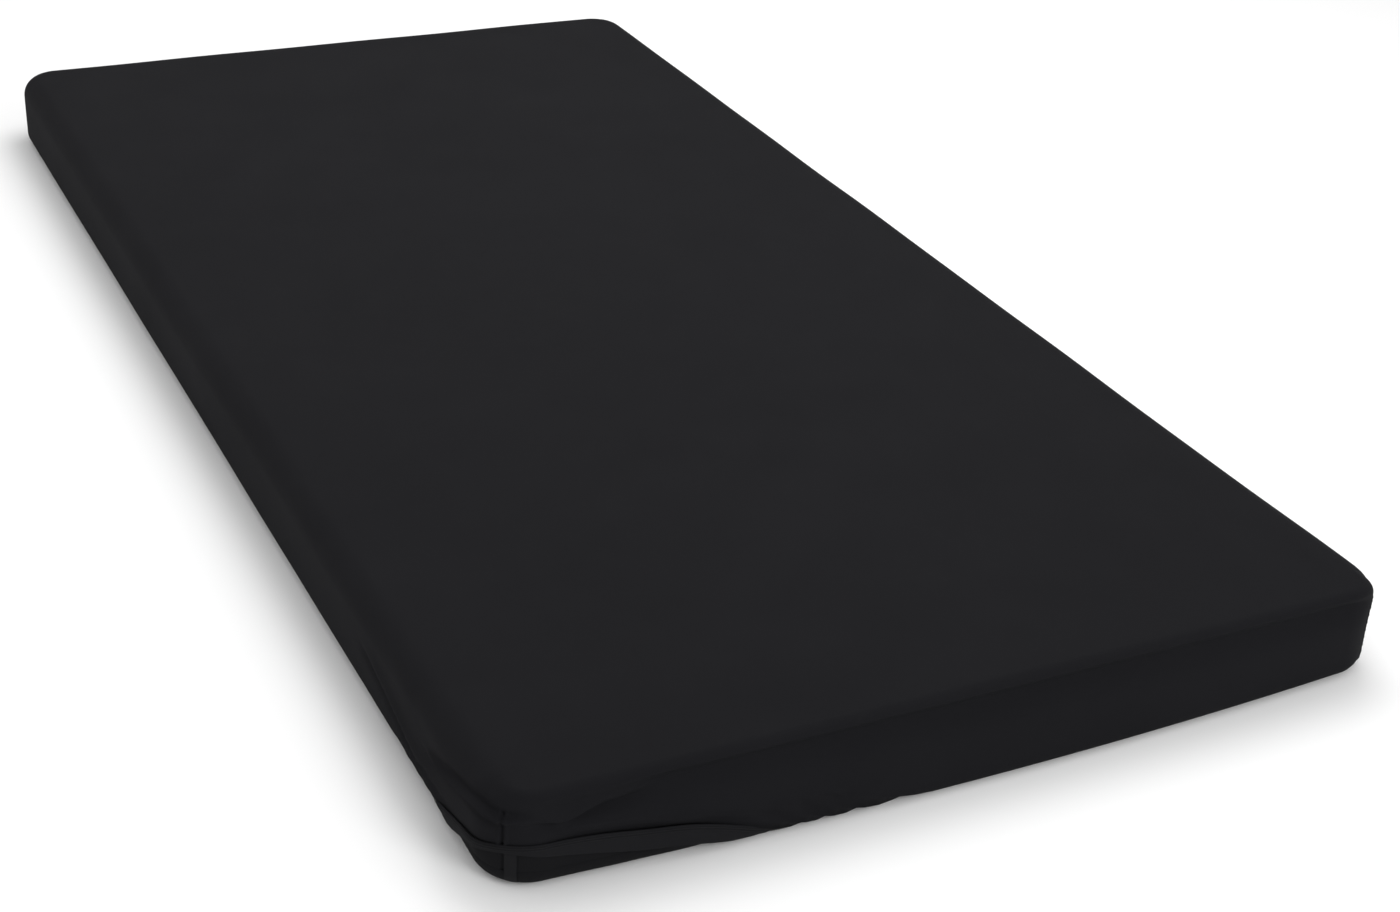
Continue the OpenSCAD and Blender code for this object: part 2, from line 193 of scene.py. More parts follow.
class Ring:
    """Columns round the mattress's outline, starting at the foot-left corner's seam and running
    along the foot end. c is where a column leaves the flat middle, n its outward direction and
    s how far round it stands, from the seam, along the outer face."""

    def __init__(self, sizes, fine, coarse, growth=1.05, arc=(0.0008, 1.08, 0.0026), keep_x=()):
        self.sizes = sizes
        radius = sizes.corner
        self.a, self.b = HALF_W - radius, HALF_L - radius
        self.x = steps(fine, growth, coarse, 2 * self.a) - self.a
        self.y = steps(fine, growth, coarse * 1.3, 2 * self.b) - self.b
        for place in keep_x:
            self.x[np.argmin(np.abs(self.x - place))] = place
        half = steps(*arc, radius * math.pi / 4) / radius
        quarter = np.concatenate([math.pi / 4 - half[::-1], math.pi / 4 + half[1:]])
        nx, ny = len(self.x), len(self.y)
        c, n, grid = [], [], []

        def arc_columns(turn, cx, cy, angles, i, k):
            for angle in angles + turn * math.pi / 2:
                c.append((cx, cy))
                n.append((math.cos(angle), math.sin(angle)))
                grid.append((i, k))

        def straight(points, normal):
            for x, y, i, k in points:
                c.append((x, y))
                n.append(normal)
                grid.append((i, k))

        middle = len(half) - 1
        a, b = self.a, self.b
        arc_columns(2, -a, -b, quarter[middle:-1], 0, 0)
        straight([(x, -b, i, 0) for i, x in enumerate(self.x)], (0, -1))
        arc_columns(3, a, -b, quarter[1:-1], nx - 1, 0)
        straight([(a, y, nx - 1, k) for k, y in enumerate(self.y)], (1, 0))
        arc_columns(0, a, b, quarter[1:-1], nx - 1, ny - 1)
        straight([(self.x[i], b, i, ny - 1) for i in range(nx - 1, -1, -1)], (0, 1))
        arc_columns(1, -a, b, quarter[1:-1], 0, ny - 1)
        straight([(-a, self.y[k], 0, k) for k in range(ny - 1, -1, -1)], (-1, 0))
        arc_columns(2, -a, -b, quarter[1:middle], 0, 0)

        self.c, self.n, self.grid = np.array(c), np.array(n), np.array(grid)
        outer = self.c + radius * self.n
        gaps = np.linalg.norm(np.roll(outer, -1, 0) - outer, axis=1)
        turned = np.arccos(np.clip((np.roll(self.n, -1, 0) * self.n).sum(1), -1, 1))
        gaps = np.where(turned > 1e-6, turned * radius, gaps)
        self.around = gaps.sum()
        self.run = np.concatenate([[0], np.cumsum(gaps)[:-1]])
        self.s = np.where(self.run < self.around / 2, self.run, self.run - self.around)
        self.side = self.sides()
        core = np.array([HALF_W, HALF_L]) - CORE_INSET
        near = np.clip(outer, -core, core)
        away = outer - near
        mouth = np.array([HEM_HIGH.x, HEM_HIGH.y])
        self.mouth = near + away / np.linalg.norm(away, axis=1)[:, None] * (mouth - core).mean()

    def sides(self):
        """Which side each face between two columns lies on: 0 foot, 1 right, 2 head, 3 left."""
        here = self.n + np.roll(self.n, -1, 0)
        foot_or_head = np.abs(here[:, 1]) > np.abs(here[:, 0])
        return np.where(foot_or_head, np.where(here[:, 1] < 0, 0, 2), np.where(here[:, 0] > 0, 1, 3))

    def at(self, inset, z):
        """Points of one row, at that distance in from the outer face and that height."""
        radius = self.sizes.corner
        flat = self.c + self.n * (radius - np.broadcast_to(inset, len(self.c)))[:, None]
        return np.column_stack([flat, np.broadcast_to(z, len(self.c))])

    def facing(self, out, up):
        """Directions with that much outward and that much upward in them."""
        out = np.broadcast_to(out, len(self.c))[:, None]
        return np.column_stack([self.n * out, np.broadcast_to(up, len(self.c))])

    def foot_share(self):
        """1 along the foot end, 0 along the other sides, and between the two in its corners."""
        return fade(-self.n[:, 1], 0.35, 0.95)

    def from_seam(self):
        """Distance round the corner from its seam, at each column."""
        angle = np.degrees(np.arctan2(np.abs(self.n[:, 1]), np.abs(self.n[:, 0])))
        return np.radians(np.abs(angle - 45)) * self.sizes.corner

    def edge(self):
        """Rounding of the upper edge at each column."""
        return self.sizes.top_edge + (self.sizes.foot_edge - self.sizes.top_edge) * self.foot_share()

    def quarter(self):
        """Length of the lower edge's rounding along the profile."""
        return self.sizes.bottom_edge * math.pi / 2

    def low(self, drop, out=0.0):
        """Points and directions at a height along the cover's lower profile. drop is measured
        along the cloth, up from where it meets the floor; it is negative under the mattress."""
        radius = self.sizes.bottom_edge
        drop = np.broadcast_to(drop, len(self.c))
        phi = np.clip(drop / radius, 0, math.pi / 2)
        z = radius * (1 - np.cos(phi)) + np.maximum(drop - self.quarter(), 0)
        points = self.at(radius * (1 - np.sin(phi)), z)
        reach = self.at(radius, 0)[:, :2]
        inward = self.mouth - reach
        full = HALF_W - HEM_HIGH.x - radius
        share = np.clip(-drop / full, 0, 1)
        past = np.maximum(-drop - full, 0)
        unit = inward / np.linalg.norm(inward, axis=1)[:, None]
        points[:, :2] += inward * share[:, None] + unit * past[:, None]
        facing = self.facing(np.sin(phi), -np.cos(phi))
        return points + facing * np.broadcast_to(out, len(self.c))[:, None], facing


# ---------------------------------------------------------------- shared shape of the soft body


def lean(points, sizes):
    """Draws the foot end in below its upper edge and swells it out towards the floor. Every soft
    layer follows."""
    x, y, z = points.T
    across = np.clip(1 - (x / (HALF_W - sizes.corner)) ** 2, 0, 1)
    up = 1 - np.clip(z / HEIGHT, 0, 1)
    near = fade(-y, HALF_L - 0.11, HALF_L - 0.03)
    below = HEIGHT - DIP_DEPTH - z
    dip = bump(below, 0, np.where(below < 0, DIP_ABOVE, DIP_BELOW))
    dip *= fade(x, -0.475, -0.30) * fade(x, 0.485, 0.44)
    moved = points.copy()
    moved[:, 1] += near * (sizes.foot_dip * dip - sizes.foot_bulge * across * up)
    return moved


def crown(points, sizes):
    """Raises the top towards the middle, and makes it a little uneven."""
    x, y, z = points.T
    middle = np.clip(1 - (x / HALF_W) ** 2, 0, 1) * np.clip(1 - (y / HALF_L) ** 2, 0, 1)
    on_top = fade(z, HEIGHT * 0.55, HEIGHT * 0.95)
    moved = points.copy()
    moved[:, 2] += on_top * (sizes.crown * middle ** 0.5 + TOP_UNEVEN * unevenness(x, y, 0.34, 4))
    return moved


# ---------------------------------------------------------------- meshes


def new_piece(name, mesh, material, nodes=()):
    """Makes an object that rides on the mattress and stands for its CAD nodes."""
    made = bpy.data.objects.new(name, mesh)
    bpy.context.scene.collection.objects.link(made)
    mesh.materials.append(material)
    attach(made, BODY)
    if nodes:
        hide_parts(*nodes)
    return made


def plain_mesh(name, points, faces, uvs=None):
    """A smooth mesh; uvs holds one place for each face's corner, in order."""
    mesh = bpy.data.meshes.new(name)
    mesh.from_pydata(np.asarray(points).tolist(), [], faces)
    if uvs is not None:
        layer = mesh.uv_layers.new(name="cloth")
        layer.data.foreach_set("uv", np.asarray(uvs, np.float32).ravel())
    mesh.shade_smooth()
    mesh.update()
    return mesh


def unfolded(ring, rows):
    """Flat-pattern places for each column's two edges on every row, as the cloth was cut."""
    radius = ring.sizes.corner
    outward = np.array([(0, -1), (1, 0), (0, 1), (-1, 0)], float)[ring.side]
    along = np.array([(1, 0), (0, 1), (-1, 0), (0, -1)], float)[ring.side]
    down = np.concatenate([
        np.zeros((1, len(ring.c))),
        np.cumsum(np.linalg.norm(np.diff(rows, axis=0), axis=2), axis=0),
    ])
    reach = np.linalg.norm(rows[:, :, :2] - ring.c[None], axis=2)
    reach = np.maximum.accumulate(np.minimum(reach, radius), axis=0)
    both = []
    for shift in (0, -1):
        c, n = np.roll(ring.c, shift, 0), np.roll(ring.n, shift, 0)
        angle = np.arctan2((n * along).sum(1), (n * outward).sum(1))
        wide, deep = np.roll(reach, shift, 1), np.roll(down, shift, 1)
        both.append(c + along * (angle * wide)[..., None] + outward * deep[..., None])
    return both


def skin_mesh(name, ring, rows, capped=True, lowest=None):
    """A skin of rows round the mattress. The first row is the flat middle's edge; capped fills
    that middle with a grid, and lowest, a height, closes the last row in the same way."""
    count, wide = rows.shape[0], rows.shape[1]
    nx, ny = len(ring.x), len(ring.y)
    points, faces, uvs = [], [], []
    start = np.zeros((count, wide), int)
    used = 0
    caps = []
    if capped:
        caps.append((0, float(rows[0, 0, 2])))
    if lowest is not None:
        caps.append((count - 1, lowest))
    for row, z in caps:
        gx, gy = np.meshgrid(ring.x, ring.y, indexing="ij")
        points.append(np.column_stack([gx.ravel(), gy.ravel(), np.full(nx * ny, z)]))
        start[row] = used + ring.grid[:, 0] * ny + ring.grid[:, 1]
        i, k = np.meshgrid(np.arange(nx - 1), np.arange(ny - 1), indexing="ij")
        corner = (used + i * ny + k).ravel()
        order = (0, ny, ny + 1, 1) if row == 0 else (0, 1, ny + 1, ny)
        block = np.column_stack([corner + step for step in order])
        faces += block.tolist()
        uvs.append(np.column_stack([gx.ravel(), gy.ravel()])[block - used].reshape(-1, 2))
        used += nx * ny
    capped_rows = {row for row, _ in caps}
    for row in range(count):
        if row not in capped_rows:
            points.append(rows[row])
            start[row] = used + np.arange(wide)
            used += wide
    here, there = unfolded(ring, rows)
    for row in range(count - 1):
        upper, lower = start[row], start[row + 1]
        quads = np.column_stack([upper, lower, np.roll(lower, -1), np.roll(upper, -1)])
        places = np.stack([here[row], here[row + 1], there[row + 1], there[row]], axis=1)
        for quad, place in zip(quads.tolist(), places):
            corners = [i for i in range(4) if quad[i] != quad[i - 1]]
            faces.append([quad[i] for i in corners])
            uvs.append(place[corners])
    return plain_mesh(name, np.concatenate(points), faces, np.concatenate(uvs))


def tube_mesh(name, ring, section):
    """A closed tube round the mattress. section holds its rows round the tube, one (N, 3) each."""
    section = np.asarray(section)
    count, wide = section.shape[:2]
    index = np.arange(count * wide).reshape(count, wide)
    after, beside = np.roll(index, -1, 0), np.roll(index, -1, 1)
    both = np.roll(after, -1, 1)
    faces = np.stack([index, after, both, beside], axis=-1).reshape(-1, 4)
    girth = np.linalg.norm(np.roll(section, -1, 0) - section, axis=2).mean(1)
    v = np.concatenate([[0], np.cumsum(girth)])
    u = np.concatenate([ring.run, [ring.around]])
    uvs = np.zeros((count, wide, 4, 2))
    uvs[:, :, :, 0] = np.stack([u[:-1], u[:-1], u[1:], u[1:]], axis=-1)[None]
    uvs[:, :, :, 1] = np.stack([v[:-1], v[1:], v[1:], v[:-1]], axis=-1)[:, None]
    return plain_mesh(name, section.reshape(-1, 3), faces.tolist(), uvs.reshape(-1, 2))


def sheet_mesh(name, points, u, v):
    """A rectangle of cloth, from a grid of points and the places of its columns and rows."""
    count, wide = points.shape[:2]
    index = np.arange(count * wide).reshape(count, wide)
    faces = np.stack([index[:-1, :-1], index[:-1, 1:], index[1:, 1:], index[1:, :-1]], axis=-1)
    gu, gv = np.meshgrid(u, v)
    flat = np.stack([gu, gv], axis=-1).reshape(-1, 2)
    uvs = flat[faces.reshape(-1, 4)].reshape(-1, 2)
    return plain_mesh(name, points.reshape(-1, 3), faces.reshape(-1, 4).tolist(), uvs)


def joined(name, meshes):
    """One mesh from several."""
    whole = bmesh.new()
    for mesh in meshes:
        whole.from_mesh(mesh)
        bpy.data.meshes.remove(mesh)
    made = bpy.data.meshes.new(name)
    whole.to_mesh(made)
    whole.free()
    made.shade_smooth()
    return made


def thicken(made, thickness, inward=-1.0):
    """Gives a skin its cloth's thickness, on its inner side."""
    solid = made.modifiers.new("Thickness", "SOLIDIFY")
    solid.thickness = thickness
    solid.offset = inward


def face_outward(mesh):
    """Turns a closed mesh's faces outward."""
    whole = bmesh.new()
    whole.from_mesh(mesh)
    bmesh.ops.recalc_face_normals(whole, faces=whole.faces)
    whole.to_mesh(mesh)
    whole.free()
    mesh.shade_smooth()
    return mesh


def stitch_mesh(name, line, facing, sizes):
    """Stitches along a line of points, each a short thread that dips at its two ends."""
    line, facing = np.asarray(line, float), np.asarray(facing, float)
    gaps = np.linalg.norm(np.diff(line, axis=0), axis=1)
    far = np.concatenate([[0], np.cumsum(gaps)])
    count = max(int(far[-1] / sizes.stitch), 1)
    middle = (np.arange(count) + 0.5) * far[-1] / count
    place = np.stack([np.interp(middle, far, line[:, k]) for k in range(3)], axis=1)
    ahead = np.stack([np.interp(middle + 1e-4, far, line[:, k]) for k in range(3)], axis=1)
    behind = np.stack([np.interp(middle - 1e-4, far, line[:, k]) for k in range(3)], axis=1)
    way = ahead - behind
    way /= np.linalg.norm(way, axis=1)[:, None]
    up = np.stack([np.interp(middle, far, facing[:, k]) for k in range(3)], axis=1)
    up /= np.linalg.norm(up, axis=1)[:, None]
    across = np.cross(way, up)
    rings = []
    for reach, girth, rise in ((-0.42, 0.5, -0.6), (-0.2, 1.0, 0.3), (0.2, 1.0, 0.3), (0.42, 0.5, -0.6)):
        for turn in range(5):
            angle = turn * 2 * math.pi / 5
            r = sizes.thread / 2 * girth
            rings.append(
                place + way * (sizes.stitch * reach) + up * (sizes.thread * rise + r * math.sin(angle))
                + across * (r * math.cos(angle))
            )
    points = np.stack(rings, axis=1)
    pattern = [
        [ring * 5 + k, ring * 5 + (k + 1) % 5, ring * 5 + 5 + (k + 1) % 5, ring * 5 + 5 + k]
        for ring in range(3) for k in range(5)
    ]
    faces = [[q + 20 * i for q in quad] for i in range(count) for quad in pattern]
    faces += [[k + 20 * i for k in range(5)] for i in range(count)]
    faces += [[19 - k + 20 * i for k in range(5)] for i in range(count)]
    return face_outward(plain_mesh(name, points.reshape(-1, 3), faces))


# ---------------------------------------------------------------- materials


class Socket:
    """An output of a shader node. Arithmetic on it adds Math nodes."""

    def __init__(self, finish, output):
        self.finish, self.output = finish, output

    def math(self, operation, *others):
        inputs = dict(enumerate((self, *others)))
        return self.finish.node("ShaderNodeMath", {"operation": operation}, inputs)

    def __add__(self, other):
        return self.math("ADD", other)

    def __sub__(self, other):
        return self.math("SUBTRACT", other)

    def __rsub__(self, other):
        return self.finish.node("ShaderNodeMath", {"operation": "SUBTRACT"}, {0: other, 1: self})

    def __mul__(self, other):
        return self.math("MULTIPLY", other)

    __radd__ = __add__
    __rmul__ = __mul__

    def __truediv__(self, other):
        return self.math("DIVIDE", other)

    def fraction(self):
        return self.math("FRACT")

    def size(self):
        return self.math("ABSOLUTE")

    def sine(self):
        return self.math("SINE")


class Finish:
    """One material with a Principled shader."""

    def __init__(self, name, **constants):
        self.material = bpy.data.materials.new(name)
        self.material.use_nodes = True
        self.tree = self.material.node_tree
        self.tree.nodes.clear()
        self.shader = self.tree.nodes.new("ShaderNodeBsdfPrincipled")
        ends = self.tree.nodes.new("ShaderNodeOutputMaterial")
        self.tree.links.new(self.shader.outputs[0], ends.inputs[0])
        for key, value in constants.items():
            self.shader.inputs[key.replace("_", " ").title().replace("Ior", "IOR")].default_value = value

    def node(self, kind, settings=None, inputs=None, output=0):
        """Adds a node with its settings, then its sockets' values or links."""
        made = self.tree.nodes.new(kind)
        for key, value in (settings or {}).items():
            setattr(made, key, value)
        for key, value in (inputs or {}).items():
            self.feed(made.inputs[key], value)
        return Socket(self, made.outputs[output])

    def feed(self, socket, value):
        if isinstance(value, Socket):
            self.tree.links.new(value.output, socket)
        else:
            socket.default_value = value

    def drive(self, name, value):
        self.feed(self.shader.inputs[name], value)

    def cloth_uv(self):
        """Places across and along the cloth, in metres."""
        uv = self.node("ShaderNodeUVMap", {"uv_map": "cloth"})
        parts = self.node("ShaderNodeSeparateXYZ", {}, {0: uv})
        return parts, Socket(self, parts.output.node.outputs[1])

    def place(self):
        return self.node("ShaderNodeTexCoord", {}, {}, "Object")

    def stretched(self, scale):
        """Places scaled differently along each axis."""
        return self.node("ShaderNodeMapping", {}, {"Vector": self.place(), "Scale": scale})

    def noise(self, scale, detail=3.0, rough=0.55, vector=None):
        return self.node(
            "ShaderNodeTexNoise", {},
            {"Vector": vector or self.place(), "Scale": scale, "Detail": detail, "Roughness": rough},
        )

    def blend(self, first, second, share):
        """A colour between two, by a share that varies over the surface."""
        return self.node(
            "ShaderNodeMix", {"data_type": "RGBA"}, {0: share, 6: first, 7: second}, 2
        )

    def tint(self, rgb, low, high, share):
        """Drives the base colour between two shades of one colour."""
        self.drive("Base Color", self.blend(shade(rgb, low), shade(rgb, high), share))

    def relief(self, height, distance, under=None):
        """Bumps by a height pattern, on top of an earlier relief."""
        inputs = {"Height": height, "Distance": distance, "Strength": 1.0}
        if under is not None:
            inputs["Normal"] = under
        return self.node("ShaderNodeBump", {}, inputs)


def shade(rgb, times):
    """A colour with its brightness changed, as four numbers."""
    return (*(min(value * times, 1.0) for value in rgb), 1.0)


def knit_height(finish, wale, course):
    """Height of a plain knit: columns of V-shaped stitches."""
    u, v = finish.cloth_uv()
    side = ((u / wale).fraction() - 0.5).size() * 2
    row = (v / course + side * 0.5).fraction()
    return (row * math.pi).sine() * (1 - side * side * 0.7)


def twill_height(finish, pitch):
    """Height of a twill: slanting ribs crossed by fine yarns."""
    u, v = finish.cloth_uv()
    rib = ((u + v) / pitch).fraction()
    yarn = (v / (pitch * 0.5)).fraction()
    return (rib * math.pi).sine() * 0.7 + (yarn * math.pi).sine() * 0.3


def herringbone_height(finish, pitch, width):
    """Height of a herringbone tape: slanting yarns that turn back in stripes."""
    u, v = finish.cloth_uv()
    zig = ((v / width).fraction() - 0.5).size() * width * 2
    yarn = ((u + zig) / pitch).fraction()
    return (yarn * math.pi).sine()


FUZZ_HEIGHT = 0.00025
KNIT = (0.0011, 0.0008)  # width of a wale and height of a course, for the cover and its hem


def fabric(name, rgb, weave, yarn_sizes, depth, rough, gloss, spread=0.25):
    """A cloth finish: yarns from a weave's height pattern and its sizes, fuzz on top, slow changes of tone,
    and painted shade that darkens the weave's grooves. spread is how far the tone goes either way."""
    finish = Finish(name, specular_ior_level=gloss)
    pattern = weave(finish, *yarn_sizes)
    tone = finish.noise(5.0, 4.0, 0.6)
    lint = finish.noise(260.0, 2.0, 0.7)
    # painted shade: the weave's height pattern paints its grooves darker and its raised yarns lighter; tone
    # and lint vary at random
    share = tone * 0.6 + lint * 0.25 + pattern * 0.25
    finish.tint(rgb, 1 - spread, 1 + spread, share)
    finish.drive("Roughness", finish.noise(9.0, 2.0) * 0.12 + (rough - 0.06))
    fuzz = finish.relief(finish.noise(900.0, 2.0, 0.7), FUZZ_HEIGHT)
    finish.drive("Normal", finish.relief(pattern, depth, fuzz))
    return finish.material


def jersey_finish(colours):
    return fabric("Jersey", colours.jersey, knit_height, KNIT, depth=0.00022, rough=0.9, gloss=0.08)


def hem_finish(colours):
    return fabric("Jersey hem", colours.hem, knit_height, KNIT, depth=0.00025, rough=0.88, gloss=0.12)


def ticking_finish(colours):
    return fabric(
        "Ticking", colours.ticking, twill_height, (0.0012,), depth=0.00018, rough=0.85, gloss=0.1
    )


def tape_finish(colours):
    return fabric(
        "Woven tape", colours.tape, herringbone_height, (0.0009, 0.004),
        depth=0.0002, rough=0.78, gloss=0.16,
    )


def elastic_finish(colours):
    return fabric(
        "Elastic", colours.elastic, twill_height, (0.0016,), depth=0.0003, rough=0.7, gloss=0.4, spread=0.1
    )


def label_finish(colours):
    return fabric(
        "Label satin", colours.label, twill_height, (0.0006,),
        depth=0.00006, rough=0.5, gloss=0.5, spread=0.05,
    )


def zip_tape_finish(colours):
    return fabric(
        "Zip tape", colours.zip_tape, herringbone_height, (0.0008, 0.003),
        depth=0.00015, rough=0.7, gloss=0.4,
    )


def thread_finish(colours):
    finish = Finish("Thread", specular_ior_level=0.2)
    ply = finish.noise(1500.0, 1.0)
    finish.tint(colours.thread, 0.8, 1.2, ply)
    finish.drive("Roughness", ply * 0.1 + 0.5)
    finish.drive("Normal", finish.relief(ply, 0.0001))
    return finish.material


def coil_finish(colours):
    finish = Finish("Nylon coil", specular_ior_level=0.5)
    grain = finish.noise(700.0, 2.0)
    finish.tint(colours.coil, 0.8, 1.25, grain)
    finish.drive("Roughness", grain * 0.12 + 0.34)
    return finish.material


def metal_finish(colours):
    """Tumbled nickel: soft scratches, duller in patches where fingers have been."""
    finish = Finish("Nickel", metallic=1.0)
    scratch = finish.noise(1.0, 3.0, 0.6, finish.stretched((300.0, 2500.0, 2500.0)))
    patch = finish.noise(160.0, 2.0)
    finish.tint(colours.metal, 0.75, 1.2, patch)
    finish.drive("Roughness", patch * 0.2 + scratch * 0.12 + 0.18)
    finish.drive("Normal", finish.relief(scratch, 0.00002))
    return finish.material


def foam_finish(colours):
    """Open foam: small cells of two sizes, with painted shade that darkens its pores."""
    finish = Finish("Foam", specular_ior_level=0.25)
    cells = finish.node(
        "ShaderNodeTexVoronoi", {"feature": "F1"}, {"Vector": finish.place(), "Scale": 900.0}
    )
    tone = finish.noise(7.0, 3.0)
    # painted shade: the cell pattern paints the foam's pores darker; the slow tone varies at random
    share = tone * 0.6 + cells * 0.5
    finish.tint(colours.foam, 1.1, 0.75, share)
    finish.drive("Roughness", tone * 0.08 + 0.86)
    finish.drive("Normal", finish.relief(cells, 0.0006))
    return finish.material


def batting_finish(colours):
    """Needled batting: long tangled fibres."""
    finish = Finish("Batting", specular_ior_level=0.2, sheen_weight=0.2)
    fibre = finish.noise(1.0, 5.0, 0.7, finish.stretched((60.0, 420.0, 420.0)))
    tuft = finish.noise(45.0, 4.0, 0.65)
    share = fibre * 0.5 + tuft * 0.5
    finish.tint(colours.batting, 0.8, 1.12, share)
    finish.drive("Roughness", tuft * 0.06 + 0.9)
    finish.drive("Normal", finish.relief(tuft * 0.6 + fibre * 0.4, 0.0015))
    return finish.material


def floor_finish(colours):
    finish = Finish("Studio floor", specular_ior_level=0.1)
    tone = finish.noise(1.5, 2.0)
    finish.tint(colours.floor, 0.995, 1.005, tone)
    finish.drive("Roughness", tone * 0.02 + 0.9)
    return finish.material


FINISHES = {
    "jersey": jersey_finish, "hem": hem_finish, "ticking": ticking_finish, "tape": tape_finish,
    "elastic": elastic_finish, "label": label_finish, "zip_tape": zip_tape_finish,
    "thread": thread_finish, "coil": coil_finish, "metal": metal_finish, "foam": foam_finish,
    "batting": batting_finish, "floor": floor_finish,
}
made_finishes = {}


def finish_of(kind):
    """The named material, made on first use."""
    if kind not in made_finishes:
        made_finishes[kind] = FINISHES[kind](bpy.context.scene.futon_colours)
    return made_finishes[kind]


# ---------------------------------------------------------------- the cover's folds and hem


# Lower edge of the hem: (distance round from the foot-left seam, height along the cloth), in mm
HEM_LINE = (
    (-400, -90), (-310, -75), (-210, -30), (-140, 3), (-86, 24), (-33, 43), (0, 52), (52, 46),
    (91, 39), (128, 32), (187, 24), (240, 10), (280, -4), (340, -35), (430, -78), (500, -90),
)
# Width of the hem: (distance round, width), in mm
HEM_WIDTH = ((-130, 18), (-60, 13), (-25, 9), (5, 9), (50, 16), (100, 21), (200, 21), (280, 18))

# Folds of the cover near the foot-left corner. Each has its line as (distance round, height)
# points, then half its width above the line and below it, and how far it stands out, all in mm.
# Slack cloth hangs, so most are steep where they face down and gentle where they face up.
FOLDS = (
    # pinched edge of the top panel, which runs into the corner seam, with hollows above and below
    (((-170, 57), (-118, 64), (-96, 68), (-72, 73), (-50, 77), (-30, 80), (-12, 78), (0, 77), (12, 78),
      (22, 76), (44, 72)), 2.2, 1.5, 6.4),
    (((-110, 74), (-50, 83), (-30, 86), (-12, 84), (0, 83), (18, 84), (44, 79)), 3.6, 1.8, -2.6),
    (((-170, 52), (-118, 59), (-72, 68), (-50, 72), (-30, 75), (-6, 72), (16, 72)), 1.6, 5.0, -3.8),
    # slack drape from the corner seam up towards the foot end's top edge
    (((8, 78), (24, 75), (42, 71), (50, 69), (64, 70), (78, 74), (92, 77), (112, 78), (150, 81)),
     1.5, 6.0, -5.2),
    (((14, 84), (42, 77), (50, 75), (64, 76), (78, 80), (92, 84), (112, 85), (150, 88)), 7.0, 1.8, 3.4),
    # hollow over the hem, which runs on up the foot end, and the crest above it
    (((24, 57), (54, 56), (72, 55), (92, 52), (124, 48), (168, 40), (206, 36), (250, 30), (294, 28),
      (342, 31), (367, 45), (384, 60)), 2.8, 5.0, -2.4),
    (((24, 62), (54, 62), (80, 61), (94, 61), (124, 57), (168, 47), (206, 42), (250, 36), (294, 34),
      (335, 38), (358, 52), (376, 68)), 6.5, 2.0, 3.8),
    # slack along the left side
    (((-360, 58), (-300, 51), (-272, 47), (-246, 41), (-224, 36), (-208, 31), (-190, 27), (-150, 27),
      (-108, 28), (-80, 34)), 1.5, 5.0, -4.0),
    (((-350, 64), (-292, 57), (-260, 51), (-230, 44), (-198, 35), (-160, 33), (-128, 34), (-88, 42)),
     6.0, 1.6, 2.8),
)


def fold_relief(s, z):
    """How far the folds stand out at places round the mattress and heights, in metres."""
    s, z = s / MM, z / MM
    total = np.zeros_like(s)
    for line, above, below, height in FOLDS:
        first, last = line[0][0], line[-1][0]
        dying = min(FOLD_END * (last - first), FOLD_END_MOST)
        ends = fade(s, first, first + dying) * fade(s, last, last - dying)
        over = z - through(line, s)
        total += height * ends * bump(over, 0, np.where(over > 0, above, below))
    return total * MM


def seam_relief(ring, z, sizes):
    """The groove of each corner's seam, with the cloth standing up on both sides of it."""
    away = ring.from_seam()
    top = HEIGHT - sizes.top_edge * 0.8
    along = fade(z, top + 0.006, top - 0.002)
    welt, groove_line = 0.6 * bump(away, 0.0034, 0.0014), bump(away, 0, 0.0011)
    pucker = np.sin(z * 2 * math.pi / PUCKER_PITCH) * bump(away, 0.004, 0.003)
    return along * (welt - groove_line) * sizes.seam_depth + along * PUCKER_HEIGHT * pucker


def cover_relief(ring, points, sizes):
    """How far the cover's outer face moves out of its plain shape."""
    z = points[:, 2]
    s = ring.s
    relief = fold_relief(s, z) + seam_relief(ring, z, sizes)
    near = fade(np.abs(s), 0.5, 0.2)
    slow = 0.0005 * unevenness(s, z * 3, 0.3, 11) + 0.0004 * near * unevenness(s, z * 2, 0.07, 12)
    return relief + slow * fade(z, 0.002, 0.02)


def hem_edges(ring):
    """Lower and upper edge of the hem along the cloth, at each column."""
    lower = through(HEM_LINE, ring.s / MM) * MM
    return lower, lower + through(HEM_WIDTH, ring.s / MM) * MM


def no_lower(points, z):
    """Lifts the points that lie below a height up to it."""
    points[:, 2] = np.maximum(points[:, 2], z)
    return points


def cover_rows(ring, sizes):
    """Rows of the cover's outer face, from the flat middle to the hem's upper edge."""
    edge, radius = ring.edge(), sizes.corner
    rows = []

    def add(points, facing):
        moved = points + facing * cover_relief(ring, points, sizes)[:, None]
        rows.append(crown(lean(moved, sizes), sizes))

    for share in np.linspace(0, 1, 4)[:-1]:
        add(ring.at(radius + (edge - radius) * share, HEIGHT), ring.facing(0, 1))
    turns = np.concatenate([np.linspace(0, math.pi / 4, 6)[:-1], np.linspace(math.pi / 4, math.pi / 2, 17)])
    for angle in turns[:-1]:
        points = ring.at(edge * (1 - math.sin(angle)), HEIGHT - edge * (1 - math.cos(angle)))
        add(points, ring.facing(math.sin(angle), math.cos(angle)))
    quarter = ring.quarter()
    full = HALF_W - HEM_HIGH.x - sizes.bottom_edge
    top = quarter + HEIGHT - edge - sizes.bottom_edge
    plain_top = quarter + HEIGHT - sizes.top_edge - sizes.bottom_edge
    plain = np.concatenate([
        np.linspace(plain_top, quarter, 48)[:-1],
        np.linspace(quarter, 0, 8)[:-1],
        np.linspace(0, -full, 5),
    ])
    end = np.maximum(hem_edges(ring)[1], -full) - 0.001
    for share in (plain_top - plain) / (plain_top + full):
        add(*ring.low(top + (end - top) * share))
    rows = np.array(rows)
    rows[:, :, 2] = np.maximum(rows[:, :, 2], 0)
    return rows


